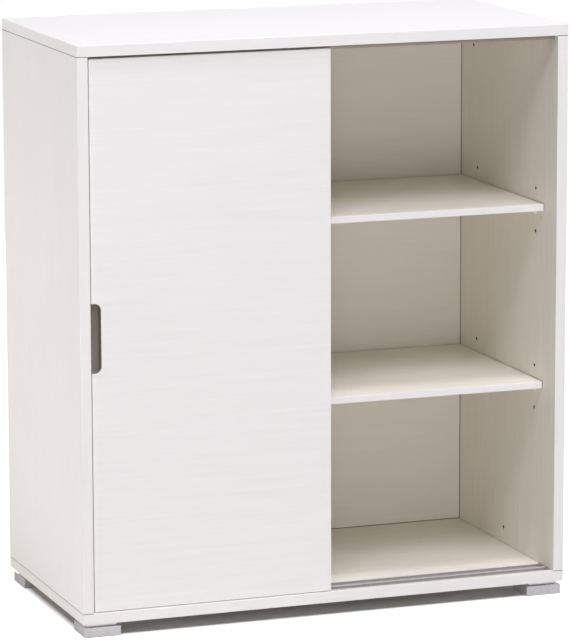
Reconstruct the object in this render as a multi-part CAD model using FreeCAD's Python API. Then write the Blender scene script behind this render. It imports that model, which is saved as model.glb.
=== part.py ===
import FreeCAD, Part
import math
import os

# Low cabinet with two sliding doors, all sizes in millimetres.
# x runs to the right, y from front to rear, z upwards.
# The origin is on the floor, under the middle of the cabinet.

Vector = FreeCAD.Vector

# Carcass
width = 745.0
depth = 375.0
height = 850.0
board = 16.0                   # melamine faced board of carcass and doors
edge_ease = 0.4                # eased edges of every board

# Back panel, let into grooves
back_thickness = 3.0
back_inset = 6.5               # rear edge of the carcass to the panel
back_groove_depth = 8.0
back_play = 0.1                # air on each face of the panel
back_end_play = 0.5            # air at the panel's edges in the grooves

# Feet: a square block, and a smaller plate above it that plugs into block and bottom panel
foot_side = 54.0
foot_block_height = 14.7
foot_corner = 0.6
foot_chamfer = 0.5
plate_side = 44.0
plate_height = 4.5
neck_side = 38.0               # step under the plate, the dark line above the block
neck_height = 0.8
foot_inset = 3.0               # from the carcass' front and sides
foot_rear_inset = 10.0
boss_side = 30.0               # square boss of the plate in the block's socket
boss_height = 8.0
boss_play = 0.1
socket_play = 1.0              # air below the boss
plug_radius = 5.0              # ribbed plug of the plate in the bottom panel
plug_length = 9.0
plug_rib = 3.0
plug_play = 0.05
plug_end_play = 1.0

# Bottom track: an aluminium profile with two grooves, sunk in the bottom panel
track_inset = 9.0              # carcass front to the track
track_wall = 1.5
track_floor = 1.2
groove_width = 16.0
groove_depth = 3.0
rib_width = 6.0                # hollow rib between the grooves
rib_wall = 1.4
lane_rib_width = 1.4           # low rib on each groove's floor, behind the wheel
lane_rib_height = 1.6
fin_width = 1.2                # barbed fins that hold a profile in its slot
fin_height = 5.0
profile_play = 0.1             # air between a profile and the board
profile_end_play = 0.5

# Top rail: a plate flush with the underside of the top, with two hanging ribs
rail_plate = 1.6
rail_margin = 4.0              # plate beside each rib
rail_rib_width = 2.0
rail_rib_drop = 6.0

# Rubber end stops: thin pads in the ends of the track's grooves
stop_length = 3.0
stop_lip_thickness = 2.2
stop_lip_rise = 1.6            # above the track's rim
stop_play = 0.1

# Doors
door_face_inset = 4.0          # carcass front to the front door's face
door_side_gap = 2.5            # closed door to the side panel
door_overlap = 12.0            # of the two doors when both are closed
door_gap_below = 0.6
door_gap_above = 3.5

# Groove in each door's top edge, and nylon guide shoes in it
guide_groove_width = 4.0
guide_groove_depth = 7.0
shoe_length = 30.0
shoe_width = 9.0
shoe_height = 10.0
shoe_slot_width = 2.6
shoe_lead_in = 3.0             # flare at both ends of the shoe's slot
shoe_setback = 45.0            # door edge to the shoe's middle
shoe_play = 0.1

# Recessed grip in each door's outer edge
grip_width = 14.0
grip_height = 100.0
grip_depth = 7.0
grip_corner = 10.0
grip_wall = 1.2
grip_inner_bevel = 1.5
grip_play = 0.1
grip_centre_height = 414.0     # above the carcass' underside

# Rollers: a moulded carriage pressed into the door, an axle and a narrow wheel
wheel_radius = 9.0
wheel_width = 4.4
lane_play = 0.6                # on each side of the wheel, to the groove's front and to the low rib
running_clearance = 0.3        # wheel to track
axle_radius = 1.5
axle_play = 0.05               # between wheel and axle
axle_inset = 0.5               # axle ends below the carriage's faces
wheel_side_play = 0.4
wheel_pocket_play = 1.0
carriage_width = 40.0
carriage_height = 28.0
carriage_depth = 11.0
carriage_corner = 6.0
carriage_play = 0.1
carriage_setback = 45.0        # door edge to the wheel's axle

# Shelves on plug-in pins
shelf_thickness = 10.0
shelf_end_gap = 1.0
shelf_rear_gap = 2.5
shelf_inset = 45.0             # carcass front to the shelves
divider_inset = 53.0           # carcass front to the divider, behind the track
pin_hole_radius = 2.5
pin_hole_depth = 7.0
pin_hole_pitch = 32.0
pin_row_front = 77.0           # carcass front to the front column of holes
pin_row_spacing = 7 * pin_hole_pitch
pin_seat = 2.5                 # hole's middle to the shelf's underside
pin_play = 0.05
pin_spigot_length = 6.5
pin_rib = 1.4                  # the spigot is a cross of two ribs
pin_plate_thickness = 1.5
pin_width = 8.0
pin_drop = 9.0                 # height of the pin's plate
pin_reach = 9.0
pin_web = 2.0

# Two more 5 mm holes in the right side panel
upper_hole_from_front = 319.0
upper_hole_below_top = 48.0
lower_hole_from_front = 190.0
lower_hole_above_bottom = 25.0

# Loose tongues, glued into grooves between the side panels and top or bottom
tongue_thickness = 4.0
tongue_width = 20.0
tongue_face_depth = 8.0        # in the top or bottom panel
tongue_play = 0.1
tongue_front_setback = 60.0    # from the carcass' front
tongue_rear_setback = 30.0     # from the back panel
divider_housing = 3.0          # depth of the divider's grooves in top and bottom
divider_play = 0.1             # air at the divider's faces and ends in them

# Planes of the carcass that the pieces share
left = -width / 2
right = width / 2
front = -depth / 2
rear = depth / 2
carcass_bottom = foot_block_height + neck_height + plate_height
inner_bottom = carcass_bottom + board
inner_top = height - board
inner_left = left + board
inner_right = right - board
inner_width = inner_right - inner_left
inner_height = inner_top - inner_bottom
divider_left = -board / 2
divider_right = board / 2
divider_front = front + divider_inset
back_front = rear - back_inset - back_thickness

# Planes of the doors and their tracks
door_pitch = groove_width + rib_width
door_width = (inner_width - 2 * door_side_gap + door_overlap) / 2
door_bottom = inner_bottom + door_gap_below
door_height = inner_height - door_gap_below - door_gap_above
door_rest_x = inner_left + door_side_gap + door_width / 2
track_front = front + track_inset
track_width = 2 * track_wall + 2 * groove_width + rib_width
first_groove_y = track_front + track_wall + groove_width / 2
groove_floor = inner_bottom - groove_depth
door_middle_y = front + door_face_inset + board / 2
lane_width = wheel_width + 2 * lane_play
axle_height = groove_floor + running_clearance + wheel_radius
wheel_offset = track_front + track_wall + lane_width / 2 - (front + door_face_inset)    # behind a door's face


def block(x0, x1, y0, y1, z0, z1):
    return Part.makeBox(x1 - x0, y1 - y0, z1 - z0, Vector(x0, y0, z0))


def eased(shape):
    return shape.makeChamfer(edge_ease, shape.Edges)


def rod(x, y, z, direction, radius, length):
    return Part.makeCylinder(radius, length, Vector(x, y, z), direction)


def mirrored(shape):
    return shape.mirror(Vector(0, 0, 0), Vector(1, 0, 0))


def moved(shape, x=0.0, y=0.0, z=0.0):
    copy = shape.copy()
    copy.translate(Vector(x, y, z))
    return copy


def upright_edges(shape):
    found = []
    for edge in shape.Edges:
        direction = edge.tangentAt(edge.FirstParameter)
        if abs(direction.z) > 0.999:
            found.append(edge)
    return found


def extruded(corners, plane, start, length):
    """Extrude a closed outline. A corner is (a, b), or (a, b, a_end, b_end) for
    an arc through (a, b). plane is "yz" for a run along x, "xz" for one along y."""
    def spot(a, b):
        return Vector(start, a, b) if plane == "yz" else Vector(a, start, b)

    edges = []
    here = spot(*corners[0][-2:])
    for corner in corners[1:] + corners[:1]:
        there = spot(*corner[-2:])
        if len(corner) == 4:
            edges.append(Part.Arc(here, spot(*corner[:2]), there).toShape())
        else:
            edges.append(Part.LineSegment(here, there).toShape())
        here = there
    run = Vector(length, 0, 0) if plane == "yz" else Vector(0, length, 0)
    return Part.Face(Part.Wire(edges)).extrude(run)


def save(name, *shapes):
    solids = [solid for shape in shapes for solid in shape.Solids]
    whole = solids[0] if len(solids) == 1 else Part.makeCompound(solids)
    whole.exportStep("parts/" + name + ".step")


# Carcass

def back_groove(x0, x1, z0, z1):
    return block(x0, x1, back_front - back_play, back_front + back_thickness + back_play, z0, z1)


def divider_groove(z0, z1):
    return block(divider_left - divider_play, divider_right + divider_play,
                 divider_front, back_front, z0, z1)


def tongue(x, z, play):
    """A flat strip that stands in the end of the side panel at x. z is its lower edge."""
    half = tongue_thickness / 2 + play
    return block(x - half, x + half, front + tongue_front_setback - play,
                 back_front - tongue_rear_setback + play, z - play, z + tongue_width + play)


def tongues(play):
    """The four tongues, or with some play the grooves that hold them."""
    lower = inner_bottom - tongue_face_depth
    upper = inner_top + tongue_face_depth - tongue_width
    return [tongue(x, z, play) for z in (lower, upper) for x in (left + board / 2, right - board / 2)]


def make_top_panel():
    panel = eased(block(left, right, front, rear, inner_top, height))
    rail = block(inner_left, inner_right, rail_front() - profile_play,
                 rail_back() + profile_play, inner_top, inner_top + rail_plate + profile_play)
    middle = (rail_front() + rail_back()) / 2
    slot = block(inner_left, inner_right, middle - fin_width / 2 - profile_play,
                 middle + fin_width / 2 + profile_play, inner_top,
                 inner_top + rail_plate + fin_height + 2 * profile_play)
    groove = back_groove(inner_left - back_groove_depth, inner_right + back_groove_depth,
                         inner_top, inner_top + back_groove_depth)
    housing = divider_groove(inner_top, inner_top + divider_housing)
    return panel.cut([rail, slot, groove, housing] + tongues(tongue_play))


def make_bottom_panel():
    panel = eased(block(left, right, front, rear, carcass_bottom, inner_bottom))
    floor = groove_floor - track_floor
    pocket = block(inner_left, inner_right, track_front - profile_play,
                   track_front + track_width + profile_play, floor - profile_play, inner_bottom)
    tools = [pocket]
    for y in (first_groove_y, first_groove_y + door_pitch):
        tools.append(block(inner_left, inner_right, y - fin_width / 2 - profile_play,
                           y + fin_width / 2 + profile_play,
                           floor - fin_height - 2 * profile_play, inner_bottom))
    tools.append(back_groove(inner_left - back_groove_depth, inner_right + back_groove_depth,
                             inner_bottom - back_groove_depth, inner_bottom))
    for name, x, y in foot_middles():
        tools.append(rod(x, y, carcass_bottom, Vector(0, 0, 1), plug_radius, plug_length + plug_end_play))
    tools.append(divider_groove(inner_bottom - divider_housing, inner_bottom))
    return panel.cut(tools + tongues(tongue_play))


def pin_hole_places():
    """y and z of the shelf pin holes on one face: a row for each third, and one each side of it."""
    places = []
    for y in (front + pin_row_front, front + pin_row_front + pin_row_spacing):
        for row in shelf_pin_heights():
            for step in (-1, 0, 1):
                places.append((y, row + step * pin_hole_pitch))
    return places


def shelf_pin_heights():
    return [inner_bottom + inner_height * third / 3 for third in (1, 2)]


def pin_holes(face_x, into, depth_of_hole):
    return [rod(face_x, y, z, into, pin_hole_radius, depth_of_hole) for y, z in pin_hole_places()]


def make_side():
    """The right hand panel as it is mirrored for the left."""
    panel = eased(block(inner_right, right, front, rear, inner_bottom, inner_top))
    groove = back_groove(inner_right, inner_right + back_groove_depth, inner_bottom, inner_top)
    holes = pin_holes(inner_right, Vector(1, 0, 0), pin_hole_depth)
    return panel.cut([groove] + holes + tongues(tongue_play))


def spare_holes():
    upper = (front + upper_hole_from_front, inner_top - upper_hole_below_top)
    lower = (front + lower_hole_from_front, inner_bottom + lower_hole_above_bottom)
    return [rod(inner_right, y, z, Vector(1, 0, 0), pin_hole_radius, pin_hole_depth)
            for y, z in (upper, lower)]


def make_divider():
    reach = divider_housing - divider_play
    panel = eased(block(divider_left, divider_right, divider_front, back_front,
                        inner_bottom - reach, inner_top + reach))
    return panel.cut(pin_holes(divider_left, Vector(1, 0, 0), board))


def make_back_panel():
    reach = back_groove_depth - back_end_play
    return block(inner_left - reach, inner_right + reach, back_front, back_front + back_thickness,
                 inner_bottom - reach, inner_top + reach)


# Feet

def foot_middles():
    """Name, x and y of each foot's middle."""
    across = right - foot_inset - foot_side / 2
    near = front + foot_inset + foot_side / 2
    far = rear - foot_rear_inset - foot_side / 2
    return [("front_left", -across, near), ("front_right", across, near),
            ("rear_left", -across, far), ("rear_right", across, far)]


def square_plate(x, y, side, z0, z1):
    half = side / 2
    plate = block(x - half, x + half, y - half, y + half, z0, z1)
    return plate.makeChamfer(foot_corner, upright_edges(plate))


def make_foot_block(x, y):
    foot = square_plate(x, y, foot_side, 0, foot_block_height)
    rim = [edge for edge in foot.Edges if edge.BoundBox.ZMax < 0.001]
    foot = foot.makeChamfer(foot_chamfer, rim)
    half = boss_side / 2 + boss_play
    socket = block(x - half, x + half, y - half, y + half,
                   foot_block_height - boss_height - socket_play, foot_block_height)
    return foot.cut(socket)


def crossed_ribs(radius, rib):
    """Half length and half thickness of the two ribs of a cross that just fits a round hole."""
    return math.sqrt(radius ** 2 - (rib / 2) ** 2), rib / 2


def make_foot_plate(x, y):
    neck = square_plate(x, y, neck_side, foot_block_height, foot_block_height + neck_height)
    plate = square_plate(x, y, plate_side, foot_block_height + neck_height, carcass_bottom)
    half = boss_side / 2
    boss = block(x - half, x + half, y - half, y + half, foot_block_height - boss_height,
                 foot_block_height)
    wide, thin = crossed_ribs(plug_radius - plug_play, plug_rib)
    top = carcass_bottom + plug_length
    plug = [block(x - wide, x + wide, y - thin, y + thin, carcass_bottom, top),
            block(x - thin, x + thin, y - wide, y + wide, carcass_bottom, top)]
    return plate.fuse([neck, boss] + plug).removeSplitter()


# Tracks

def make_bottom_track():
    """Section seen along x: outer walls, two grooves with a low rib each, a hollow rib between, two fins."""
    y0 = track_front
    y3 = track_front + track_width
    top = inner_bottom
    base = groove_floor - track_floor
    near, far = first_groove_y, first_groove_y + door_pitch
    half = groove_width / 2
    rib_inside = (near + half + rib_wall, far - half - rib_wall)
    corners = [(y0, top), (y0, base)]
    corners += fin(near, base)
    corners += [(rib_inside[0], base), (rib_inside[0], top - rib_wall),
                (rib_inside[1], top - rib_wall), (rib_inside[1], base)]
    corners += fin(far, base)
    corners += [(y3, base), (y3, top)]
    for y in (far, near):
        corners += groove_section(y)
    return extruded(corners, "yz", inner_left + profile_end_play, inner_width - 2 * profile_end_play)


def fin(y, base):
    """Tapered fin under a profile, from front to rear."""
    return [(y - fin_width / 2, base), (y - fin_width / 4, base - fin_height),
            (y + fin_width / 4, base - fin_height), (y + fin_width / 2, base)]


def groove_section(y):
    """One groove from rear to front: its rear wall, the low rib that keeps the wheel in its lane, its front."""
    rib_front = y - groove_width / 2 + lane_width
    rib_rear = rib_front + lane_rib_width
    rib_top = groove_floor + lane_rib_height
    return [(y + groove_width / 2, inner_bottom), (y + groove_width / 2, groove_floor),
            (rib_rear, groove_floor), (rib_rear, rib_top), (rib_front, rib_top), (rib_front, groove_floor),
            (y - groove_width / 2, groove_floor), (y - groove_width / 2, inner_bottom)]


def rail_front():
    return door_middle_y - rail_rib_width / 2 - rail_margin


def rail_back():
    return door_middle_y + door_pitch + rail_rib_width / 2 + rail_margin


def make_top_rail():
    """Section seen along x: a plate with two round ended ribs below it and one fin above."""
    under = inner_top
    over = inner_top + rail_plate
    half = rail_rib_width / 2
    middle = (rail_front() + rail_back()) / 2
    corners = [(rail_back(), over), (middle + fin_width / 2, over),
               (middle + fin_width / 4, over + fin_height), (middle - fin_width / 4, over + fin_height),
               (middle - fin_width / 2, over), (rail_front(), over), (rail_front(), under)]
    for y in (door_middle_y, door_middle_y + door_pitch):
        tip = under - rail_rib_drop + half
        corners += [(y - half, under), (y - half, tip), (y, tip - half, y + half, tip), (y + half, under)]
    corners.append((rail_back(), under))
    return extruded(corners, "yz", inner_left + profile_end_play, inner_width - 2 * profile_end_play)


def make_end_stop(groove_y):
    """Left hand rubber stop: a pad that fills the groove's end, with a lip that the door's edge meets."""
    x0 = inner_left + stop_play
    half = groove_width / 2 - stop_play
    floor = groove_floor + stop_play
    foot = block(x0, x0 + stop_length, groove_y - half, groove_y + half, floor, inner_bottom)
    lip = block(x0, x0 + stop_lip_thickness - stop_play, groove_y - half, groove_y + half,
                inner_bottom, inner_bottom + stop_lip_rise)
    upper = [edge for edge in lip.Edges
             if edge.BoundBox.XLength > 1 and edge.BoundBox.ZMin > inner_bottom + stop_lip_rise - 0.001]
    lip = lip.makeChamfer(stop_lip_rise / 2, upper)
    rib_front = groove_y - groove_width / 2 + lane_width
    slot = block(x0, x0 + stop_length, rib_front - stop_play, rib_front + lane_rib_width + stop_play,
                 floor, groove_floor + lane_rib_height + stop_play)
    return foot.fuse(lip).removeSplitter().cut(slot)


# Doors. Each is made for the front groove with its grip at the left, centred on x = 0.

def door_front():
    return front + door_face_inset


def door_back():
    return door_front() + board


def grip_outline(half_height, reach, corner, start, length):
    """A plate along y, open to the door's left edge, with two round corners at the right."""
    middle = carcass_bottom + grip_centre_height
    edge = -door_width / 2
    x1 = edge + reach
    bow = corner * (1 - math.sqrt(0.5))
    low = middle - half_height
    high = middle + half_height
    corners = [(edge, low), (x1 - corner, low), (x1 - bow, low + bow, x1, low + corner),
               (x1, high - corner), (x1 - bow, high - bow, x1 - corner, high), (edge, high)]
    return extruded(corners, "xz", start, length)


def make_grip():
    """Moulded cup: a floor, a wall round three sides, and a sloping edge between them."""
    half = grip_height / 2
    outside = grip_outline(half, grip_width, grip_corner, door_front(), grip_depth + grip_wall)
    inside = grip_outline(half - grip_wall, grip_width - grip_wall, grip_corner - grip_wall,
                          door_front() - 1, grip_depth + 1)
    deepest = [edge for edge in inside.Edges
               if edge.BoundBox.YMin > door_front() + grip_depth - 0.001
               and edge.BoundBox.XMax > -door_width / 2 + 0.001]
    inside = inside.makeChamfer(grip_inner_bevel, deepest)
    return outside.cut(inside)


def carriage_places():
    return [-door_width / 2 + carriage_setback, door_width / 2 - carriage_setback]


def shoe_places():
    return [-door_width / 2 + shoe_setback, door_width / 2 - shoe_setback]


def carriage_recess(x):
    """Routed from the door's rear face and lower edge, so its upper corners are round."""
    half = carriage_width / 2 + carriage_play
    top = door_bottom + carriage_height + carriage_play
    deep = carriage_depth + carriage_play
    recess = block(x - half, x + half, door_back() - deep, door_back(), door_bottom, top)
    corners = [edge for edge in recess.Edges
               if edge.BoundBox.ZMin > top - 0.001 and edge.BoundBox.YLength > 1]
    return recess.makeFillet(carriage_corner, corners)


def make_carriage(x):
    """Moulded body in the door's recess, round a wheel pocket that is open below."""
    inner_face = door_back() - carriage_depth
    half = carriage_width / 2
    top = door_bottom + carriage_height
    corners = [(x - half, door_bottom), (x + half, door_bottom), (x + half, top - carriage_corner),
               (x + half - carriage_corner, top), (x - half + carriage_corner, top),
               (x - half, top - carriage_corner)]
    body = extruded(corners, "xz", inner_face, carriage_depth)
    pocket_half = wheel_radius + wheel_pocket_play
    wheel_y = door_front() + wheel_offset
    pocket_width = wheel_width + 2 * wheel_side_play
    pocket = block(x - pocket_half, x + pocket_half, wheel_y - pocket_width / 2,
                   wheel_y + pocket_width / 2, door_bottom - 1, axle_height + pocket_half)
    axle_hole = rod(x, inner_face, axle_height, Vector(0, 1, 0), axle_radius + axle_play, carriage_depth)
    return body.cut([pocket, axle_hole])


def make_axle(x):
    start = door_back() - carriage_depth + axle_inset
    return rod(x, start, axle_height, Vector(0, 1, 0), axle_radius, carriage_depth - 2 * axle_inset)


def make_wheel(x):
    """Nylon wheel that runs on the groove's floor, in the lane between the groove's front and a low rib."""
    start = door_front() + wheel_offset - wheel_width / 2
    along = Vector(0, 1, 0)
    tread = rod(x, start, axle_height, along, wheel_radius, wheel_width)
    return tread.cut(rod(x, start, axle_height, along, axle_radius + axle_play, wheel_width))


def shoe_block(x, play):
    half = shoe_length / 2 + play
    thick = shoe_width / 2 + play
    top = door_bottom + door_height
    return block(x - half, x + half, door_middle_y - thick, door_middle_y + thick,
                 top - shoe_height - play, top)


def make_shoe(x):
    """Nylon shoe with a slot for the rail's rib, flared at both ends."""
    top = door_bottom + door_height
    depth_of_slot = guide_groove_depth
    slot = block(x - shoe_length, x + shoe_length, door_middle_y - shoe_slot_width / 2,
                 door_middle_y + shoe_slot_width / 2, top - depth_of_slot, top + 1)
    flares = []
    for end in (-1, 1):
        outer = x + end * shoe_length / 2
        inner = outer - end * shoe_lead_in
        wide = guide_groove_width / 2
        narrow = shoe_slot_width / 2
        points = [Vector(outer, door_middle_y - wide, top - depth_of_slot),
                  Vector(outer, door_middle_y + wide, top - depth_of_slot),
                  Vector(inner, door_middle_y + narrow, top - depth_of_slot),
                  Vector(inner, door_middle_y - narrow, top - depth_of_slot)]
        face = Part.Face(Part.makePolygon(points + points[:1]))
        flares.append(face.extrude(Vector(0, 0, depth_of_slot + 1)))
    return shoe_block(x, 0).cut([slot] + flares)


def make_door_panel():
    half = door_width / 2
    top = door_bottom + door_height
    panel = eased(block(-half, half, door_front(), door_back(), door_bottom, top))
    tools = [block(-half, half, door_middle_y - guide_groove_width / 2,
                   door_middle_y + guide_groove_width / 2, top - guide_groove_depth, top)]
    tools += [shoe_block(x, shoe_play) for x in shoe_places()]
    tools.append(grip_outline(grip_height / 2 + grip_play, grip_width + grip_play,
                              grip_corner + grip_play, door_front(), grip_depth + grip_wall + grip_play))
    for x in carriage_places():
        tools.append(carriage_recess(x))
    return panel.cut(tools)


# Shelves and their pins

def bays():
    """Name and the two walls of each half of the cabinet."""
    return [("left", inner_left, divider_left), ("right", divider_right, inner_right)]


def make_shelf(wall_left, wall_right, pin_height):
    under = pin_height + pin_seat
    return eased(block(wall_left + shelf_end_gap, wall_right - shelf_end_gap, front + shelf_inset,
                       back_front - shelf_rear_gap, under, under + shelf_thickness))


def make_pin(wall_x, inward, y, z):
    """Clear plug-in pin: a ribbed spigot, a plate against the wall, a seat for the shelf and a web."""
    seat = z + pin_seat
    corners = [(wall_x, seat), (wall_x, seat - pin_drop),
               (wall_x + inward * pin_plate_thickness, seat - pin_drop),
               (wall_x + inward * pin_plate_thickness, seat - pin_plate_thickness),
               (wall_x + inward * pin_reach, seat - pin_plate_thickness), (wall_x + inward * pin_reach, seat)]
    bracket = extruded(corners, "xz", y - pin_width / 2, pin_width)
    web_corners = [(wall_x, seat - pin_drop), (wall_x + inward * pin_plate_thickness, seat - pin_drop),
                   (wall_x + inward * pin_reach, seat - pin_plate_thickness), (wall_x, seat - pin_plate_thickness)]
    web = extruded(web_corners, "xz", y - pin_web / 2, pin_web)
    wide, thin = crossed_ribs(pin_hole_radius - pin_play, pin_rib)
    near, far = sorted((wall_x, wall_x - inward * pin_spigot_length))
    ribs = [block(near, far, y - wide, y + wide, z - thin, z + thin),
            block(near, far, y - thin, y + thin, z - wide, z + wide)]
    return bracket.fuse([web] + ribs).removeSplitter()


def make_pins(wall_left, wall_right):
    pins = []
    for z in shelf_pin_heights():
        for y in (front + pin_row_front, front + pin_row_front + pin_row_spacing):
            pins.append(make_pin(wall_left, 1, y, z))
            pins.append(make_pin(wall_right, -1, y, z))
    return pins


def save_carcass():
    save("top_panel", make_top_panel())
    save("bottom_panel", make_bottom_panel())
    side = make_side()
    save("right_side_panel", side.cut(spare_holes()))
    save("left_side_panel", mirrored(side))
    save("centre_divider", make_divider())
    save("back_panel", make_back_panel())
    save("side_panel_tongues", *tongues(0))


def save_feet():
    for name, x, y in foot_middles():
        save(name + "_foot", make_foot_block(x, y))
        save(name + "_foot_plate", make_foot_plate(x, y))


def save_tracks():
    save("bottom_track", make_bottom_track())
    save("top_guide_rail", make_top_rail())
    stops = [make_end_stop(y) for y in (first_groove_y, first_groove_y + door_pitch)]
    save("track_end_stops", *stops, *[mirrored(stop) for stop in stops])


def save_door(name, flip, y):
    """Write one door's pieces at rest, with its grip at the left or, flipped, at the right."""
    def placed(shape):
        return moved(mirrored(shape) if flip else shape, door_rest_x, y)

    save(name, placed(make_door_panel()))
    save(name + "_grip", placed(make_grip()))
    save(name + "_guide_shoes", *[placed(make_shoe(x)) for x in shoe_places()])
    for side, x in zip(("left", "right"), carriage_places()):
        save(name + "_" + side + "_carriage", moved(make_carriage(x), door_rest_x, y))
        save(name + "_" + side + "_axle", moved(make_axle(x), door_rest_x, y))
        save(name + "_" + side + "_wheel", moved(make_wheel(x), door_rest_x, y))


def save_shelves():
    for name, wall_left, wall_right in bays():
        for level, pin_height in zip(("lower", "upper"), shelf_pin_heights()):
            save(name + "_" + level + "_shelf", make_shelf(wall_left, wall_right, pin_height))
        save(name + "_shelf_pins", *make_pins(wall_left, wall_right))


os.makedirs("parts", exist_ok=True)
save_carcass()
save_feet()
save_tracks()
save_door("left_door", False, 0.0)
save_door("right_door", True, door_pitch)
save_shelves()
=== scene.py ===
import bpy
import bmesh
import math
from mathutils import Matrix, Vector


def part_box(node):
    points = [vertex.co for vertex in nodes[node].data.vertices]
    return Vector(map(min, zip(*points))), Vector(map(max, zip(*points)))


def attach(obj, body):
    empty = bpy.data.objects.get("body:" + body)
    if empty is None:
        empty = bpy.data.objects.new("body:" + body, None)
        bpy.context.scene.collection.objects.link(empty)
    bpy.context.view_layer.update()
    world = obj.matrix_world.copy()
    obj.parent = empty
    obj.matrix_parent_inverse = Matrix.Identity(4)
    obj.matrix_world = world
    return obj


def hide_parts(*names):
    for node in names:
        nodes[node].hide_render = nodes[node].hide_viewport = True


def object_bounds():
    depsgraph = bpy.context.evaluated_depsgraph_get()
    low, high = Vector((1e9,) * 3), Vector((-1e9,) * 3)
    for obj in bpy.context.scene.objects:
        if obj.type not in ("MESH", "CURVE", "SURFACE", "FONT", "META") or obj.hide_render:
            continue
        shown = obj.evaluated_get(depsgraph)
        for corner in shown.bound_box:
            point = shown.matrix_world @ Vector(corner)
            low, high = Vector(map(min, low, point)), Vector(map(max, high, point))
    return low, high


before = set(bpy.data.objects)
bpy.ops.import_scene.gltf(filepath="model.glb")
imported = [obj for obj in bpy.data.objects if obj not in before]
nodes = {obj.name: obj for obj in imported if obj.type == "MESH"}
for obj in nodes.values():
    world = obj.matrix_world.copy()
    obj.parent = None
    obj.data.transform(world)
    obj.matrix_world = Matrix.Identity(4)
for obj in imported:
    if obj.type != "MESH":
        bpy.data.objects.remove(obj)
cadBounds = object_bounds()
scene = bpy.context.scene
mm = 0.001
wavePeriod = 2 * math.pi / 20      # of a wave texture, at scale 1


def linearColour(hexCode):
    channels = [int(hexCode[i:i + 2], 16) / 255 for i in (1, 3, 5)]
    return [c / 12.92 if c <= 0.04045 else ((c + 0.055) / 1.055) ** 2.4 for c in channels] + [1.0]


def addNode(tree, kind, settings=None, links=None):
    node = tree.nodes.new(kind)
    for key, value in (settings or {}).items():
        if isinstance(key, int) or key in node.inputs:
            node.inputs[key].default_value = value
        else:
            setattr(node, key, value)
    for key, source in (links or {}).items():
        tree.links.new(source, node.inputs[key])
    return node


def newMaterial(name, **shaderValues):
    material = bpy.data.materials.new(name)
    material.use_nodes = True
    tree = material.node_tree
    tree.nodes.clear()
    shader = addNode(tree, "ShaderNodeBsdfPrincipled", shaderValues)
    addNode(tree, "ShaderNodeOutputMaterial", None, {"Surface": shader.outputs[0]})
    place = addNode(tree, "ShaderNodeTexCoord").outputs["Object"]      # metres; moves with the piece
    return material, tree, shader, place


def finish(tree, shader, colour, gloss, height, depthMm, strength=0.35):
    # the three things that each finish below works out: its colour, its gloss and its relief
    bump = addNode(tree, "ShaderNodeBump", {"Strength": strength, "Distance": depthMm * mm},
                   {"Height": height})
    tree.links.new(colour, shader.inputs["Base Color"])
    tree.links.new(gloss, shader.inputs["Roughness"])
    tree.links.new(bump.outputs[0], shader.inputs["Normal"])


# innerWhite and innerShade are a warmer, darker copy for the inside faces: painted warm shade
melamine = {
    "white": "#f8f6f3", "shade": "#f3f2ef", "innerWhite": "#f7f3e8", "innerShade": "#efeadd",
    "rough": 0.42, "bandRough": 0.36, "ior": 1.5,
    "grainMm": 4.0, "grainLengthMm": 150, "poreMm": 1.1, "poreLengthMm": 14,
    "depthMm": 0.02, "relief": 0.5,
}


def makeMelamine(name, white, shade, rough, lengthwise):
    # white melamine resin pressed with a wood grain: satin, faint long streaks and short pores in
    # relief. Real pores are 0.2 mm wide; they are drawn coarser, so that they show at all
    material, tree, shader, place = newMaterial(name, IOR=melamine["ior"])

    def streaks(widthMm, lengthMm, detail):
        scale = [1 / (widthMm * mm)] * 3
        scale["XYZ".index(lengthwise)] = 1 / (lengthMm * mm)
        stretched = addNode(tree, "ShaderNodeMapping", {"Scale": scale}, {"Vector": place})
        return addNode(tree, "ShaderNodeTexNoise", {"Scale": 1.0, "Detail": detail},
                       {"Vector": stretched.outputs[0]})

    grain = streaks(melamine["grainMm"], melamine["grainLengthMm"], 3.0)
    pores = streaks(melamine["poreMm"], melamine["poreLengthMm"], 1.0)
    both = addNode(tree, "ShaderNodeMath", {"operation": "MULTIPLY_ADD", 1: 0.5},
                   {0: pores.outputs["Fac"], 2: grain.outputs["Fac"]})
    tone = addNode(tree, "ShaderNodeMapRange", {"From Min": 0.5, "From Max": 1.0},
                   {"Value": both.outputs[0]})
    tint = addNode(tree, "ShaderNodeMix", {"data_type": "RGBA", 6: linearColour(shade),
                   7: linearColour(white)}, {0: tone.outputs[0]})
    gloss = addNode(tree, "ShaderNodeMapRange", {"To Min": rough + 0.07, "To Max": rough - 0.05},
                    {"Value": tone.outputs[0]})
    finish(tree, shader, tint.outputs[2], gloss.outputs[0], both.outputs[0], melamine["depthMm"],
           melamine["relief"])
    return material


def makeDecor(lengthwise):
    # outside face, edge band and the creamier inside face, painted warm shade; all with the grain in one
    # direction
    return {
        "outer": makeMelamine("whiteMelamine" + lengthwise, melamine["white"], melamine["shade"],
                              melamine["rough"], lengthwise),
        "band": makeMelamine("whiteEdgeBand" + lengthwise, melamine["white"], melamine["shade"],
                             melamine["bandRough"], lengthwise),
        "inner": makeMelamine("innerWarmShadeMelamine" + lengthwise, melamine["innerWhite"],
                              melamine["innerShade"], melamine["rough"], lengthwise),
    }


levelDecor, uprightDecor = makeDecor("X"), makeDecor("Z")

chipboard = {
    # the hole colours draw the chipboard near black: painted shade in holes and grooves
    "light": "#cdb085", "dark": "#86683f", "holeShadeLight": "#30261d", "holeShadeDark": "#1a140f",
    # the glue colours are near black: glue and painted shade in the joints
    "glueAndShadeLight": "#47423d", "glueAndShadeDark": "#302c29", "chipMm": 2.4, "dustMm": 0.6,
    "depthMm": 0.25, "relief": 0.5,
    "sideFromMm": 356.5,      # the side panels begin this far from the middle
}


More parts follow.
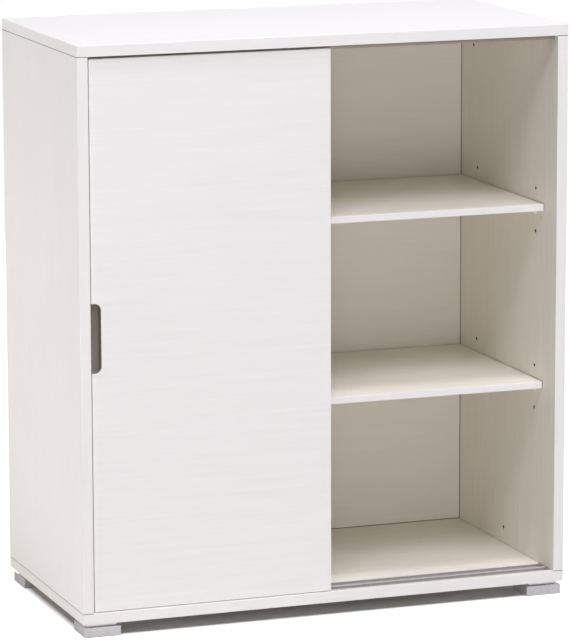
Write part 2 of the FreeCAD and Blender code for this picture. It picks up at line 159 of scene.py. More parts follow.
def makeChipboard(name, light, dark):
    # particle board as the saw or the drill leaves it: glued wood chips in many browns, dry and matt.
    # In holes and grooves it is drawn near black, which is painted shade. The same chips in glue and
    # painted shade fill the joints, which read as dark hairlines
    material, tree, shader, place = newMaterial(name, **{"Specular IOR Level": 0.0})
    chips = addNode(tree, "ShaderNodeTexVoronoi", {"Scale": 1 / (chipboard["chipMm"] * mm)},
                    {"Vector": place})
    pick = addNode(tree, "ShaderNodeSeparateColor", None, {"Color": chips.outputs["Color"]})
    dustAndShade = addNode(tree, "ShaderNodeTexNoise", {"Scale": 1 / (chipboard["dustMm"] * mm), "Detail": 3.0},
                   {"Vector": place})
    mixed = addNode(tree, "ShaderNodeMath", {"operation": "MULTIPLY_ADD", 1: 0.6},
                    {0: pick.outputs[0], 2: dustAndShade.outputs["Fac"]})
    tint = addNode(tree, "ShaderNodeMix", {"data_type": "RGBA", 6: linearColour(dark),
                   7: linearColour(light)}, {0: mixed.outputs[0]})
    gloss = addNode(tree, "ShaderNodeMapRange", {"To Min": 0.84, "To Max": 0.97},
                    {"Value": dustAndShade.outputs["Fac"]})
    finish(tree, shader, tint.outputs[2], gloss.outputs[0], mixed.outputs[0], chipboard["depthMm"],
           chipboard["relief"])
    return material


def makeJointShadeBand():
    # edge band on the chamfers of top and bottom: white between the side panels, and dark where the
    # chamfer lies in the joint with one of them, which is painted shade of the joint
    material, tree, shader, place = newMaterial("jointShadeBand", IOR=melamine["ior"],
                                                Roughness=melamine["bandRough"])
    across = addNode(tree, "ShaderNodeSeparateXYZ", None, {0: place})
    outward = addNode(tree, "ShaderNodeMath", {"operation": "ABSOLUTE"}, {0: across.outputs["X"]})
    # painted shade: dark where the chamfer lies in a joint with a side panel
    onSide = addNode(tree, "ShaderNodeMath", {"operation": "GREATER_THAN",
                     1: chipboard["sideFromMm"] * mm}, {0: outward.outputs[0]})
    tint = addNode(tree, "ShaderNodeMix", {"data_type": "RGBA", 6: linearColour(melamine["white"]),
                   7: linearColour(chipboard["glueAndShadeLight"])}, {0: onSide.outputs[0]})
    tree.links.new(tint.outputs[2], shader.inputs["Base Color"])
    return material


jointShadeBand = makeJointShadeBand()
sawnChipboard = makeChipboard("sawnChipboard", chipboard["light"], chipboard["dark"])
# painted shade: the same chipboard, near black, for the insides of holes and grooves
holeShadeChipboard = makeChipboard("holeShadeChipboard", chipboard["holeShadeLight"], chipboard["holeShadeDark"])
# glue and painted shade: the joint chamfers get the chipboard in near-black glue colours
glueAndShadeJoint = makeChipboard("glueAndShadeJoint", chipboard["glueAndShadeLight"], chipboard["glueAndShadeDark"])

hardboard = {
    "lacquer": "#edeae0", "lacquerShade": "#ebe7dd", "rough": 0.46,
    "halfWidthMm": 356.5, "halfHeightMm": 399, "middleMm": 435,      # the field that shows inside
    "lineMm": 1.2, "grooveShadeColour": "#6f675b", "peelMm": 2.2, "depthMm": 0.02,
    "brown": "#8d6b48", "darkBrown": "#6b4e33", "fibreMm": 1.4, "mottleMm": 35,
    "screenMm": 5.0, "screenDepthMm": 0.12, "screenRelief": 0.5,
}


def makeLacqueredHardboard():
    # hardboard printed with the same pale grain under a clear lacquer: a little creamier, slight
    # orange peel. Round its visible field runs a dark hairline, painted shade of the groove that it
    # stands in
    material, tree, shader, place = newMaterial("lacqueredHardboard", IOR=1.5)
    stretched = addNode(tree, "ShaderNodeMapping", {"Scale": (1 / (melamine["grainLengthMm"] * mm),
                        1 / (melamine["grainMm"] * mm), 1 / (melamine["grainMm"] * mm))},
                        {"Vector": place})
    grain = addNode(tree, "ShaderNodeTexNoise", {"Scale": 1.0, "Detail": 3.0},
                    {"Vector": stretched.outputs[0]})
    tone = addNode(tree, "ShaderNodeMapRange", {"From Min": 0.3, "From Max": 0.7},
                   {"Value": grain.outputs["Fac"]})
    printed = addNode(tree, "ShaderNodeMix", {"data_type": "RGBA",
                      6: linearColour(hardboard["lacquerShade"]),
                      7: linearColour(hardboard["lacquer"])}, {0: tone.outputs[0]})
    centred = addNode(tree, "ShaderNodeVectorMath", {"operation": "SUBTRACT",
                      1: (0, 0, hardboard["middleMm"] * mm)}, {0: place})
    outward = addNode(tree, "ShaderNodeVectorMath", {"operation": "ABSOLUTE"}, {0: centred.outputs[0]})
    apart = addNode(tree, "ShaderNodeSeparateXYZ", None, {0: outward.outputs[0]})
    besideSide = addNode(tree, "ShaderNodeMath", {"operation": "GREATER_THAN",
                         1: (hardboard["halfWidthMm"] - hardboard["lineMm"]) * mm},
                         {0: apart.outputs["X"]})
    besideEnd = addNode(tree, "ShaderNodeMath", {"operation": "GREATER_THAN",
                        1: (hardboard["halfHeightMm"] - hardboard["lineMm"]) * mm},
                        {0: apart.outputs["Z"]})
    # painted shade: a dark hairline along the groove round the visible field
    hairline = addNode(tree, "ShaderNodeMath", {"operation": "MAXIMUM"},
                       {0: besideSide.outputs[0], 1: besideEnd.outputs[0]})
    tint = addNode(tree, "ShaderNodeMix", {"data_type": "RGBA",
                   7: linearColour(hardboard["grooveShadeColour"])},
                   {0: hairline.outputs[0], 6: printed.outputs[2]})
    peel = addNode(tree, "ShaderNodeTexNoise", {"Scale": 1 / (hardboard["peelMm"] * mm), "Detail": 1.0},
                   {"Vector": place})
    gloss = addNode(tree, "ShaderNodeMapRange", {"To Min": hardboard["rough"] - 0.05,
                    "To Max": hardboard["rough"] + 0.07}, {"Value": peel.outputs["Fac"]})
    finish(tree, shader, tint.outputs[2], gloss.outputs[0], peel.outputs["Fac"], hardboard["depthMm"])
    return material


def makeRawHardboard():
    # pressed wood fibre: mottled brown, with the print of the press screen, whose real mesh of
    # 1.6 mm is drawn coarser, so that it shows
    material, tree, shader, place = newMaterial("rawHardboard")
    fibre = addNode(tree, "ShaderNodeTexNoise", {"Scale": 1 / (hardboard["fibreMm"] * mm), "Detail": 4.0,
                    "Distortion": 1.5}, {"Vector": place})
    mottle = addNode(tree, "ShaderNodeTexNoise", {"Scale": 1 / (hardboard["mottleMm"] * mm),
                     "Detail": 2.0}, {"Vector": place})
    mixed = addNode(tree, "ShaderNodeMath", {"operation": "MULTIPLY_ADD", 1: 0.35},
                    {0: mottle.outputs["Fac"], 2: fibre.outputs["Fac"]})
    tone = addNode(tree, "ShaderNodeMapRange", {"From Min": 0.35, "From Max": 1.0},
                   {"Value": mixed.outputs[0]})
    tint = addNode(tree, "ShaderNodeMix", {"data_type": "RGBA", 6: linearColour(hardboard["darkBrown"]),
                   7: linearColour(hardboard["brown"])}, {0: tone.outputs[0]})
    waveScale = wavePeriod / (hardboard["screenMm"] * mm)
    acrossWires = addNode(tree, "ShaderNodeTexWave", {"Scale": waveScale, "bands_direction": "X"},
                          {"Vector": place})
    alongWires = addNode(tree, "ShaderNodeTexWave", {"Scale": waveScale, "bands_direction": "Z"},
                         {"Vector": place})
    screen = addNode(tree, "ShaderNodeMath", {"operation": "MULTIPLY"},
                     {0: acrossWires.outputs["Fac"], 1: alongWires.outputs["Fac"]})
    relief = addNode(tree, "ShaderNodeMath", {"operation": "MULTIPLY_ADD", 1: 0.4},
                     {0: fibre.outputs["Fac"], 2: screen.outputs[0]})
    gloss = addNode(tree, "ShaderNodeMapRange", {"To Min": 0.72, "To Max": 0.9},
                    {"Value": fibre.outputs["Fac"]})
    finish(tree, shader, tint.outputs[2], gloss.outputs[0], relief.outputs[0],
           hardboard["screenDepthMm"], hardboard["screenRelief"])
    return material


lacqueredHardboard = makeLacqueredHardboard()
rawHardboard = makeRawHardboard()

profiles = {
    "aluminium": "#d9d7d4", "aluminiumDark": "#cfcdca", "aluminiumRough": 0.48, "aluminiumMetallic": 0.25,
    "groove": "#a3a09e", "grooveDark": "#999694", "rimMm": 0.3,
    "rail": "#b1a99c", "railDark": "#a9a194", "railRough": 0.48,
    # painted shade: the rail's dark colour in the corner under the top, and the heights where it begins
    # and ends
    "railShade": "#605b54", "shadeFromMm": 831.0, "shadeToMm": 832.6,      # the corner under the top
    "lineMm": 0.35, "lineLengthMm": 160, "depthMm": 0.012, "relief": 0.4,
}


def makeExtruded(name, light, dark, rough, **shaderValues):
    # pressed through a die: fine straight lines along the profile, drawn a little coarser than real
    material, tree, shader, place = newMaterial(name, **shaderValues)
    lengthwise = addNode(tree, "ShaderNodeMapping", {"Scale": (1 / (profiles["lineLengthMm"] * mm),
                         1 / (profiles["lineMm"] * mm), 1 / (profiles["lineMm"] * mm))},
                         {"Vector": place})
    lines = addNode(tree, "ShaderNodeTexNoise", {"Scale": 1.0, "Detail": 2.0},
                    {"Vector": lengthwise.outputs[0]})
    tint = addNode(tree, "ShaderNodeMix", {"data_type": "RGBA", 6: linearColour(dark),
                   7: linearColour(light)}, {0: lines.outputs["Fac"]})
    gloss = addNode(tree, "ShaderNodeMapRange", {"To Min": rough - 0.06, "To Max": rough + 0.08},
                    {"Value": lines.outputs["Fac"]})
    finish(tree, shader, tint.outputs[2], gloss.outputs[0], lines.outputs["Fac"], profiles["depthMm"],
           profiles["relief"])
    return material


# anodised aluminium: a soft metallic sheen, drawn darker in the grooves, which is painted shade;
# grey PVC: the same lines, but a dull plastic shine
anodisedAluminium = makeExtruded("anodisedAluminium", profiles["aluminium"], profiles["aluminiumDark"],
                                 profiles["aluminiumRough"], Metallic=profiles["aluminiumMetallic"])
shadedGroove = makeExtruded("shadedAluminiumGroove", profiles["groove"], profiles["grooveDark"],
                          profiles["aluminiumRough"], Metallic=profiles["aluminiumMetallic"])
greyPvc = makeExtruded("extrudedGreyPvc", profiles["rail"], profiles["railDark"],
                       profiles["railRough"], IOR=1.53)


def shadeRailTop():
    # painted shade: the rail is drawn darker in the corner under the top
    tree = greyPvc.node_tree
    shader = next(node for node in tree.nodes if node.type == "BSDF_PRINCIPLED")
    unshadedRail = shader.inputs["Base Color"].links[0].from_socket
    place = addNode(tree, "ShaderNodeTexCoord").outputs["Object"]
    height = addNode(tree, "ShaderNodeSeparateXYZ", None, {0: place})
    # painted shade: higher up the rail, under the top, it turns to the dark colour
    dustAndShade = addNode(tree, "ShaderNodeMapRange", {"From Min": profiles["shadeFromMm"] * mm,
                   "From Max": profiles["shadeToMm"] * mm}, {"Value": height.outputs["Z"]})
    tint = addNode(tree, "ShaderNodeMix", {"data_type": "RGBA", 7: linearColour(profiles["railShade"])},
                   {0: dustAndShade.outputs[0], 6: unshadedRail})
    tree.links.new(tint.outputs[2], shader.inputs["Base Color"])


shadeRailTop()

mouldings = {      # two colours, roughness, grain and its depth in mm
    "grip": ("#736b67", "#6c6460", 0.55, 0.7, 0.03),
    "acetal": ("#8f9092", "#86878a", 0.42, 0.9, 0.01),
    "nylon": ("#e7e3d6", "#dcd7c8", 0.38, 0.5, 0.01),
    "rubber": ("#aaa6a2", "#9b9793", 0.8, 0.6, 0.03),
    "flowMm": 12,
}


def makeMoulding(name, light, dark, rough, grainMm, depthMm, **shaderValues):
    # moulded plastic: an even colour with faint flow marks, and the fine spark-eroded grain of its
    # mould in gloss and relief, drawn coarser than real so that it shows
    material, tree, shader, place = newMaterial(name, **shaderValues)
    grain = addNode(tree, "ShaderNodeTexNoise", {"Scale": 1 / (grainMm * mm), "Detail": 2.0},
                    {"Vector": place})
    flow = addNode(tree, "ShaderNodeTexNoise", {"Scale": 1 / (mouldings["flowMm"] * mm), "Detail": 1.0},
                   {"Vector": place})
    tint = addNode(tree, "ShaderNodeMix", {"data_type": "RGBA", 6: linearColour(dark),
                   7: linearColour(light)}, {0: flow.outputs["Fac"]})
    gloss = addNode(tree, "ShaderNodeMapRange", {"To Min": rough - 0.06, "To Max": rough + 0.06},
                    {"Value": grain.outputs["Fac"]})
    finish(tree, shader, tint.outputs[2], gloss.outputs[0], grain.outputs["Fac"], depthMm)
    return material


# ABS: dull and grained; acetal: smoother and waxy; nylon: milky, light gets in a little;
# rubber: no shine at all
darkGreyAbs = makeMoulding("darkGreyAbs", *mouldings["grip"], IOR=1.54)
greyAcetal = makeMoulding("greyAcetal", *mouldings["acetal"], IOR=1.48)
naturalNylon = makeMoulding("naturalNylon", *mouldings["nylon"], **{
    "IOR": 1.53, "Subsurface Weight": 0.2, "Subsurface Radius": (0.002, 0.0018, 0.0014)})
greyRubber = makeMoulding("greyRubber", *mouldings["rubber"], IOR=1.52)

silver = {
    "light": "#d5d4d5", "dark": "#bcbbbc", "plateLight": "#f6f5f4", "plateDark": "#e9e8e7",
    "rough": 0.4, "metallic": 0.45, "flakeMm": 0.9, "depthMm": 0.02, "tilt": 0.12,
}


def makeSilverLacquer(name, light, dark):
    # silver lacquer on ABS: tiny metal flakes that catch the light one by one, drawn larger than real
    material, tree, shader, place = newMaterial(name, Metallic=silver["metallic"],
                                                **{"Coat Weight": 0.15, "Coat Roughness": 0.25})
    flakes = addNode(tree, "ShaderNodeTexVoronoi", {"Scale": 1 / (silver["flakeMm"] * mm)},
                     {"Vector": place})
    pick = addNode(tree, "ShaderNodeSeparateColor", None, {"Color": flakes.outputs["Color"]})
    tint = addNode(tree, "ShaderNodeMix", {"data_type": "RGBA", 6: linearColour(dark),
                   7: linearColour(light)}, {0: pick.outputs[0]})
    gloss = addNode(tree, "ShaderNodeMapRange", {"To Min": silver["rough"] - 0.08,
                    "To Max": silver["rough"] + 0.1}, {"Value": pick.outputs[1]})
    finish(tree, shader, tint.outputs[2], gloss.outputs[0], pick.outputs[2], silver["depthMm"],
           silver["tilt"])
    return material


zinc = {
    "light": "#d2d3cf", "dark": "#b9bcc2", "rough": 0.28,
    "cloudMm": 4, "turnedMm": 0.4, "depthMm": 0.005,
}


def makeZincPlatedSteel():
    # bright zinc plating: silvery, with the faint blue and straw clouds of its passivation
    material, tree, shader, place = newMaterial("zincPlatedSteel", Metallic=1.0)
    cloud = addNode(tree, "ShaderNodeTexNoise", {"Scale": 1 / (zinc["cloudMm"] * mm), "Detail": 2.0},
                    {"Vector": place})
    tint = addNode(tree, "ShaderNodeMix", {"data_type": "RGBA", 6: linearColour(zinc["dark"]),
                   7: linearColour(zinc["light"])}, {0: cloud.outputs["Fac"]})
    turned = addNode(tree, "ShaderNodeTexNoise", {"Scale": 1 / (zinc["turnedMm"] * mm), "Detail": 1.0},
                     {"Vector": place})
    gloss = addNode(tree, "ShaderNodeMapRange", {"To Min": zinc["rough"] - 0.06,
                    "To Max": zinc["rough"] + 0.08}, {"Value": turned.outputs["Fac"]})
    finish(tree, shader, tint.outputs[2], gloss.outputs[0], turned.outputs["Fac"], zinc["depthMm"])
    return material


plywood = {
    "light": "#dcc59b", "dark": "#b18f5f", "plyMm": 1.3,
    "grainMm": 0.5, "grainLengthMm": 20, "depthMm": 0.05,
}


def makeBirchPlywood():
    # birch plywood strip: pale long grain and darker end-grain plies in turn
    material, tree, shader, place = newMaterial("birchPlywood")
    waveScale = wavePeriod / (2 * plywood["plyMm"] * mm)      # a pale and a dark ply in each period
    plies = addNode(tree, "ShaderNodeTexWave", {"Scale": waveScale, "bands_direction": "X",
                    "Distortion": 0.4, "Detail Scale": 0.3}, {"Vector": place})
    along = addNode(tree, "ShaderNodeMapping", {"Scale": (1 / (plywood["grainMm"] * mm),
                    1 / (plywood["grainLengthMm"] * mm), 1 / (plywood["grainMm"] * mm))},
                    {"Vector": place})
    grain = addNode(tree, "ShaderNodeTexNoise", {"Scale": 1.0, "Detail": 3.0},
                    {"Vector": along.outputs[0]})
    mixed = addNode(tree, "ShaderNodeMath", {"operation": "MULTIPLY_ADD", 1: 0.5},
                    {0: plies.outputs["Fac"], 2: grain.outputs["Fac"]})
    tint = addNode(tree, "ShaderNodeMix", {"data_type": "RGBA", 6: linearColour(plywood["dark"]),
                   7: linearColour(plywood["light"])}, {0: mixed.outputs[0]})
    gloss = addNode(tree, "ShaderNodeMapRange", {"To Min": 0.62, "To Max": 0.8},
                    {"Value": grain.outputs["Fac"]})
    finish(tree, shader, tint.outputs[2], gloss.outputs[0], grain.outputs["Fac"], plywood["depthMm"])
    return material


clear = {
    "light": "#ffffff", "dark": "#f6f7f5", "transmission": 0.08, "ior": 1.58, "rough": 0.14,
    "hazeMm": 1.5, "depthMm": 0.02,
}


def makeClearPolycarbonate():
    # clear polycarbonate from a matt mould: its haze scatters most of the light, so that it looks
    # whitish against the board
    material, tree, shader, place = newMaterial("clearPolycarbonate", **{
        "Transmission Weight": clear["transmission"], "IOR": clear["ior"]})
    haze = addNode(tree, "ShaderNodeTexNoise", {"Scale": 1 / (clear["hazeMm"] * mm), "Detail": 2.0},
                   {"Vector": place})
    tint = addNode(tree, "ShaderNodeMix", {"data_type": "RGBA", 6: linearColour(clear["dark"]),
                   7: linearColour(clear["light"])}, {0: haze.outputs["Fac"]})
    gloss = addNode(tree, "ShaderNodeMapRange", {"To Min": clear["rough"] - 0.05,
                    "To Max": clear["rough"] + 0.08}, {"Value": haze.outputs["Fac"]})
    finish(tree, shader, tint.outputs[2], gloss.outputs[0], haze.outputs["Fac"], clear["depthMm"])
    return material


silverLacquer = makeSilverLacquer("silverLacquer", silver["light"], silver["dark"])
paleSilverLacquer = makeSilverLacquer("paleSilverLacquer", silver["plateLight"], silver["plateDark"])
zincPlatedSteel = makeZincPlatedSteel()
birchPlywood = makeBirchPlywood()
clearPolycarbonate = makeClearPolycarbonate()
print("finishes are mixed")

board = {"easeMm": 0.6}      # a chamfer lies this near to the board's corner, at most


def wear(name, *materials):
    mesh = nodes[name].data
    mesh.materials.clear()
    for material in materials:
        mesh.materials.append(material)
    return mesh


def dressBoard(name, across, decor, innerSides, rawSides=(), jointSides=()):
    # melamine on both faces, the inside faces in a creamier, darker copy that is painted warm shade, a
    # band round the edges, chipboard where it is sawn, near black where drilled or grooved as painted
    # shade, and a dark hairline of glue and painted shade on the chamfers at jointSides. A side is an
    # axis with -1 or 1 for its two ends. On top and bottom, raw at the rear alone, the hairline lies only
    # where a side panel meets them
    mesh = wear(name, decor["outer"], decor["band"], sawnChipboard, holeShadeChipboard, glueAndShadeJoint,
                decor["inner"], jointShadeBand)
    low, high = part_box(name)
    near = board["easeMm"] * mm
    for polygon in mesh.polygons:
        middle, normal = polygon.center, polygon.normal
        flat = max(abs(part) for part in normal) > 0.99      # not a chamfer
        sides = []
        for axis in (0, 1, 2):
            if middle[axis] - low[axis] < near and normal[axis] < -0.5:
                sides.append((axis, -1))
            if high[axis] - middle[axis] < near and normal[axis] > 0.5:
                sides.append((axis, 1))
        edgeSides = [side for side in sides if side[0] != across]
        # holes and grooves take the near-black chipboard: painted shade
        if not sides:      # in a hole or a groove
            polygon.material_index = 3
        # a chamfer in a joint is drawn dark: glue and painted shade
        elif not flat and any(side in jointSides for side in sides):
            polygon.material_index = 4 if not rawSides or rawSides[-1] in jointSides else 6
        elif edgeSides:
            polygon.material_index = 2 if flat and any(side in rawSides for side in edgeSides) else 1
        else:
            # the inside faces take the warmer, darker copy of the melamine: painted warm shade
            inner = any(side in innerSides for side in sides if side[0] == across)
            polygon.material_index = 5 if inner else 0


def dressBoards():
    left, right, rear, foot, head = (0, -1), (0, 1), (1, 1), (2, -1), (2, 1)
    dressBoard("top_panel", 2, levelDecor, [foot], [rear], [foot])
    dressBoard("bottom_panel", 2, levelDecor, [head], [rear], [head])
    dressBoard("left_side_panel", 0, uprightDecor, [right], [rear, foot, head], [foot, head])
    dressBoard("right_side_panel", 0, uprightDecor, [left], [rear, foot, head], [foot, head])
    dressBoard("centre_divider", 0, uprightDecor, [left, right], [rear, foot, head], [foot, head])
    for side in ("left", "right"):
        # the door's bottom chamfers are drawn dark: painted shade of the running gap under the door
        dressBoard(side + "_door", 1, levelDecor, [rear], (), [foot])      # dark gap over the bottom
        for level in ("lower", "upper"):
            dressBoard(f"{side}_{level}_shelf", 2, levelDecor, [foot, head], [rear, left, right],
                       [left, right])
    for polygon in wear("back_panel", lacqueredHardboard, rawHardboard).polygons:
        polygon.material_index = 1 if polygon.normal.y > 0.5 else 0
    wear("side_panel_tongues", birchPlywood)


dressBoards()
print("boards are dressed")

edges = {      # how wide the rounding of the edges is in mm, and how many steps it has
    "track": (0.25, 2), "rail": (0.3, 2), "foot": (0.5, 3), "plate": (0.4, 2), "stop": (0.5, 3),
    "pin": (0.35, 2), "carriage": (0.5, 2), "wheel": (0.6, 3), "axle": (0.3, 2), "shoe": (0.6, 3),
    "flatTo": 2, "roundFrom": 28,      # degrees between two faces
}


def roundEdges(name, kind, material, body="carcass"):
    # the same solid with its edges rounded as the mould, the die or the tool leaves them
    widthMm, steps = edges[kind]
    mesh = nodes[name].data.copy()
    form = bmesh.new()
    form.from_mesh(mesh)
    bmesh.ops.remove_doubles(form, verts=form.verts, dist=0.001 * mm)
    bmesh.ops.dissolve_limit(form, angle_limit=math.radians(edges["flatTo"]), verts=form.verts,
                             edges=form.edges)
    form.to_mesh(mesh)
    form.free()
    mesh.shade_smooth()
    mesh.materials.clear()
    mesh.materials.append(material)
    piece = bpy.data.objects.new(name + ".rounded", mesh)
    scene.collection.objects.link(piece)
    bevel = piece.modifiers.new("roundedEdges", "BEVEL")
    bevel.width = widthMm * mm
    bevel.segments = steps
    bevel.limit_method = "ANGLE"
    bevel.angle_limit = math.radians(edges["roundFrom"])
    bevel.harden_normals = True
    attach(piece, body)
    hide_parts(name)
    return piece


def makeFittings():
    track = roundEdges("bottom_track", "track", anodisedAluminium)
    track.data.materials.append(shadedGroove)
    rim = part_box("bottom_track")[1].z - profiles["rimMm"] * mm
    for polygon in track.data.polygons:      # the grooves are drawn darker below the rim, painted shade; the rims stay bright
        polygon.material_index = 1 if polygon.center.z < rim else 0
    roundEdges("top_guide_rail", "rail", greyPvc)
    roundEdges("track_end_stops", "stop", greyRubber)
    for row in ("front", "rear"):
        for side in ("left", "right"):
            roundEdges(f"{row}_{side}_foot", "foot", silverLacquer)
            roundEdges(f"{row}_{side}_foot_plate", "plate", paleSilverLacquer)
    for side in ("left", "right"):
        door = side + "_door"
        roundEdges(side + "_shelf_pins", "pin", clearPolycarbonate)
        roundEdges(door + "_guide_shoes", "shoe", greyAcetal, door)
        for end in ("left", "right"):
            roller = f"{door}_{end}_"
            roundEdges(roller + "carriage", "carriage", greyAcetal, door)
            roundEdges(roller + "axle", "axle", zincPlatedSteel, door)
            roundEdges(roller + "wheel", "wheel", naturalNylon, roller + "wheel_body")


makeFittings()
print("tracks, feet, pins and rollers are rounded")

gripCup = {
    "cornerMm": 10.0, "cornerSteps": 10, "backMm": 8.2, "floorMm": 7.0,
    # inset and depth
    "lipMm": [(0.0, 0.35), (0.1, 0.1), (0.35, 0.0), (0.85, 0.0), (1.1, 0.12), (1.25, 0.45)],
    "wallFootMm": (1.4, 5.2), "filletMm": 1.6, "filletSteps": 6, "sharpFrom": 40,
}


def gripProfile():
    # from the outer wall over the rounded lip, down the wall and through the fillet on to the floor
    inset, depth = gripCup["wallFootMm"]
    points = [(0.0, gripCup["backMm"])] + gripCup["lipMm"] + [(inset, depth)]
    for step in range(1, gripCup["filletSteps"] + 1):
        turn = math.pi / 2 * step / gripCup["filletSteps"]
        points.append((inset + gripCup["filletMm"] * (1 - math.cos(turn)),
                       depth + (gripCup["floorMm"] - depth) * math.sin(turn)))
    return points


def gripPath(reach, half):
    # the cup's outline from its open end at x = 0 round both corners: places and inward directions
    corner, steps = gripCup["cornerMm"], gripCup["cornerSteps"]
    path = [((0.0, -half), (0.0, 1.0))]
    for sign in (-1, 1):
        for step in range(steps + 1):
            turn = math.pi / 2 * step / steps
            turn = turn if sign < 0 else math.pi / 2 - turn
            out = (math.sin(turn), sign * math.cos(turn))
            path.append(((reach - corner + corner * out[0], sign * (half - corner) + corner * out[1]),
                         (-out[0], -out[1])))
    path.append(((0.0, half), (0.0, -1.0)))
    return path


def makeGrip(side):
    name = side + "_door_grip"
    low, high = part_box(name)
    flip = 1 if side == "left" else -1      # the cup is open to the left on the left door
    openX = low.x if side == "left" else high.x
    middleZ = (low.z + high.z) / 2
    path = gripPath((high.x - low.x) / mm, (high.z - low.z) / 2 / mm)
    profile = gripProfile()
    form = bmesh.new()
    rings = []
    for (x, z), (inX, inZ) in path:
        rings.append([form.verts.new((openX + flip * (x + inX * inset) * mm, low.y + depth * mm,
                                      middleZ + (z + inZ * inset) * mm)) for inset, depth in profile])
    for ring, following in zip(rings, rings[1:]):
        for i in range(len(profile) - 1):
            form.faces.new((ring[i], ring[i + 1], following[i + 1], following[i]))
    form.faces.new([ring[-1] for ring in rings])                  # floor
    form.faces.new([ring[0] for ring in reversed(rings)])         # back
    form.faces.new(rings[0] + list(reversed(rings[-1])))          # open end, cut flush
    bmesh.ops.recalc_face_normals(form, faces=form.faces)
    mesh = bpy.data.meshes.new(name + "Cup")
    form.to_mesh(mesh)
    form.free()
    mesh.shade_smooth()
    mesh.set_sharp_from_angle(angle=math.radians(gripCup["sharpFrom"]))
    mesh.materials.append(darkGreyAbs)
    cup = bpy.data.objects.new(name + ".cup", mesh)
    scene.collection.objects.link(cup)
    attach(cup, side + "_door")
    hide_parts(name)


for side in ("left", "right"):
    makeGrip(side)
print("grips are in")

floor = {
    "radius": 6.0, "segments": 96, "white": "#e4e2df", "fadeFrom": 1.8, "fadeTo": 3.6,
    "insetMm": 14, "liftToMm": 14, "lift": 1.0,      # white again round the cabinet, shadow under it
}
studioLight = {
    "sky": "#ffffff",
    "lamps": [      # name, place, aim, size, watts, colour
        ("softboxAbove", (0.5, -2.6, 4.4), (0, 0, 0.4), 2.6, 96, "#f7f7ff"),
        ("softboxLeft", (-1.6, -2.8, 4.4), (0, 0, 0.4), 1.6, 52, "#f7f7ff"),
        ("softboxOverFront", (0.2, -0.85, 4.4), (0, -0.3, 0.3), 0.8, 66, "#f9f7ff"),
        ("cardLeftBack", (-3.0, 0.8, 0.8), (0, 0, 0.3), 1.6, 13, "#fffaf9"),
        ("cardLeftLow", (-1.9, 0.1, 0.14), (-0.37, 0, 0.05), 0.9, 12.5, "#fffaf9"),
        ("cardFrontLow", (-0.8, -3.5, 0.3), (0, 0, 0.35), 1.6, 31, "#fffaf9"),
        ("cardRight", (3.0, 0.35, 0.6), (0, 0, 0.4), 1.6, 44, "#fffaf9"),
        ("cardRear", (0.4, 3.2, 0.3), (0, 0, 0.4), 0.9, 48, "#fffaf9"),
    ],
}


def makeFloor():
    mesh = bpy.data.meshes.new("studioFloor")
    form = bmesh.new()
    bmesh.ops.create_circle(form, cap_ends=True, radius=floor["radius"], segments=floor["segments"])
    form.to_mesh(mesh)
    form.free()
    ground = bpy.data.objects.new("studioFloor", mesh)
    scene.collection.objects.link(ground)
    material = bpy.data.materials.new("studioFloorPaint")
    material.use_nodes = True
    tree = material.node_tree
    tree.nodes.clear()
    place = addNode(tree, "ShaderNodeTexCoord").outputs["Object"]
    reach = addNode(tree, "ShaderNodeVectorMath", {"operation": "LENGTH"}, {0: place})
    fade = addNode(tree, "ShaderNodeMapRange", {"From Min": floor["fadeFrom"],
                   "From Max": floor["fadeTo"], "interpolation_type": "SMOOTHSTEP"},
                   {"Value": reach.outputs["Value"]})
    outline = addNode(tree, "ShaderNodeVectorMath", {"operation": "ABSOLUTE"}, {0: place})
    half = [(high - low) / 2 - floor["insetMm"] * mm for low, high in zip(*cadBounds)][:2] + [0]
    beyond = addNode(tree, "ShaderNodeVectorMath", {"operation": "SUBTRACT", 1: half},
                     {0: outline.outputs[0]})
    outside = addNode(tree, "ShaderNodeVectorMath", {"operation": "MAXIMUM", 1: (0, 0, 0)},
                      {0: beyond.outputs[0]})
    gap = addNode(tree, "ShaderNodeVectorMath", {"operation": "LENGTH"}, {0: outside.outputs[0]})
    rise = addNode(tree, "ShaderNodeMapRange", {"From Max": floor["liftToMm"] * mm,
                   "To Max": floor["lift"]}, {"Value": gap.outputs["Value"]})
    path = addNode(tree, "ShaderNodeLightPath")
    lift = addNode(tree, "ShaderNodeMath", {"operation": "MULTIPLY"},
                   {0: rise.outputs[0], 1: path.outputs["Is Camera Ray"]})
    diffuse = addNode(tree, "ShaderNodeBsdfDiffuse", {"Color": linearColour(floor["white"])})
    glow = addNode(tree, "ShaderNodeEmission", None, {"Strength": lift.outputs[0]})
    paint = addNode(tree, "ShaderNodeAddShader", None, {0: diffuse.outputs[0], 1: glow.outputs[0]})
    nothing = addNode(tree, "ShaderNodeBsdfTransparent")
    mixed = addNode(tree, "ShaderNodeMixShader", None,
                    {0: fade.outputs[0], 1: paint.outputs[0], 2: nothing.outputs[0]})
    addNode(tree, "ShaderNodeOutputMaterial", None, {"Surface": mixed.outputs[0]})
    mesh.materials.append(material)


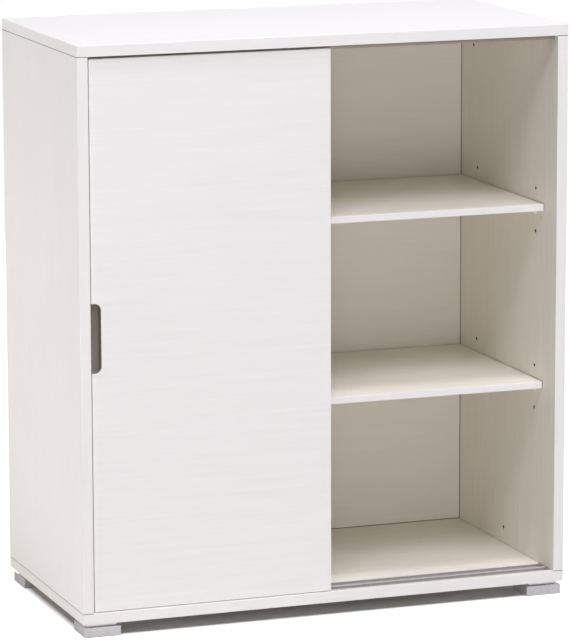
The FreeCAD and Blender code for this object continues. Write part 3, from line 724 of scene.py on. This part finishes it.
def makeWorld():
    # white where it is seen, mirrored or looked at through something clear; it gives no light
    world = bpy.data.worlds.new("studioWorld")
    world.use_nodes = True
    scene.world = world
    tree = world.node_tree
    tree.nodes.clear()
    path = addNode(tree, "ShaderNodeLightPath")
    seen = addNode(tree, "ShaderNodeMath", {"operation": "MAXIMUM"},
                   {0: path.outputs["Is Camera Ray"], 1: path.outputs["Is Transmission Ray"]})
    seenOrMirrored = addNode(tree, "ShaderNodeMath", {"operation": "MAXIMUM"},
                             {0: seen.outputs[0], 1: path.outputs["Is Glossy Ray"]})
    sky = addNode(tree, "ShaderNodeBackground", {"Color": linearColour(studioLight["sky"])},
                  {"Strength": seenOrMirrored.outputs[0]})
    addNode(tree, "ShaderNodeOutputWorld", None, {"Surface": sky.outputs[0]})


def makeLamps():
    for name, place, aim, size, watts, colour in studioLight["lamps"]:
        data = bpy.data.lights.new(name, "AREA")
        data.shape = "DISK"
        data.size = size
        data.energy = watts
        data.color = linearColour(colour)[:3]
        lamp = bpy.data.objects.new(name, data)
        lamp.location = place
        lamp.rotation_euler = (Vector(aim) - Vector(place)).to_track_quat("-Z", "Y").to_euler()
        scene.collection.objects.link(lamp)


view = {
    "place": (-2.02253, -5.59707, 1.51464), "yaw": 0.347074, "pitch": 0.184157, "roll": -0.003075,
    "focalPx": 4088.0, "framePx": 640, "sensorMm": 36.0,      # framePx is the longer side of the image
    "near": 0.1, "far": 100,
}


def makeCamera():
    yaw, pitch, roll = view["yaw"], view["pitch"], view["roll"]
    ahead = Vector((math.sin(yaw) * math.cos(pitch), math.cos(yaw) * math.cos(pitch),
                    -math.sin(pitch)))
    level = Vector((math.cos(yaw), -math.sin(yaw), 0))
    upright = level.cross(ahead)
    right = level * math.cos(roll) + upright * math.sin(roll)
    up = upright * math.cos(roll) - level * math.sin(roll)
    data = bpy.data.cameras.new("studioCamera")
    data.sensor_width = view["sensorMm"]
    data.lens = view["sensorMm"] * view["focalPx"] / view["framePx"]
    data.clip_start, data.clip_end = view["near"], view["far"]
    camera = bpy.data.objects.new("studioCamera", data)
    camera.matrix_world = Matrix((right, up, -ahead)).transposed().to_4x4()
    camera.location = view["place"]
    scene.collection.objects.link(camera)
    scene.camera = camera


makeFloor()
makeWorld()
makeLamps()
makeCamera()
scene.view_settings.view_transform = "Standard"
print("studio is set")
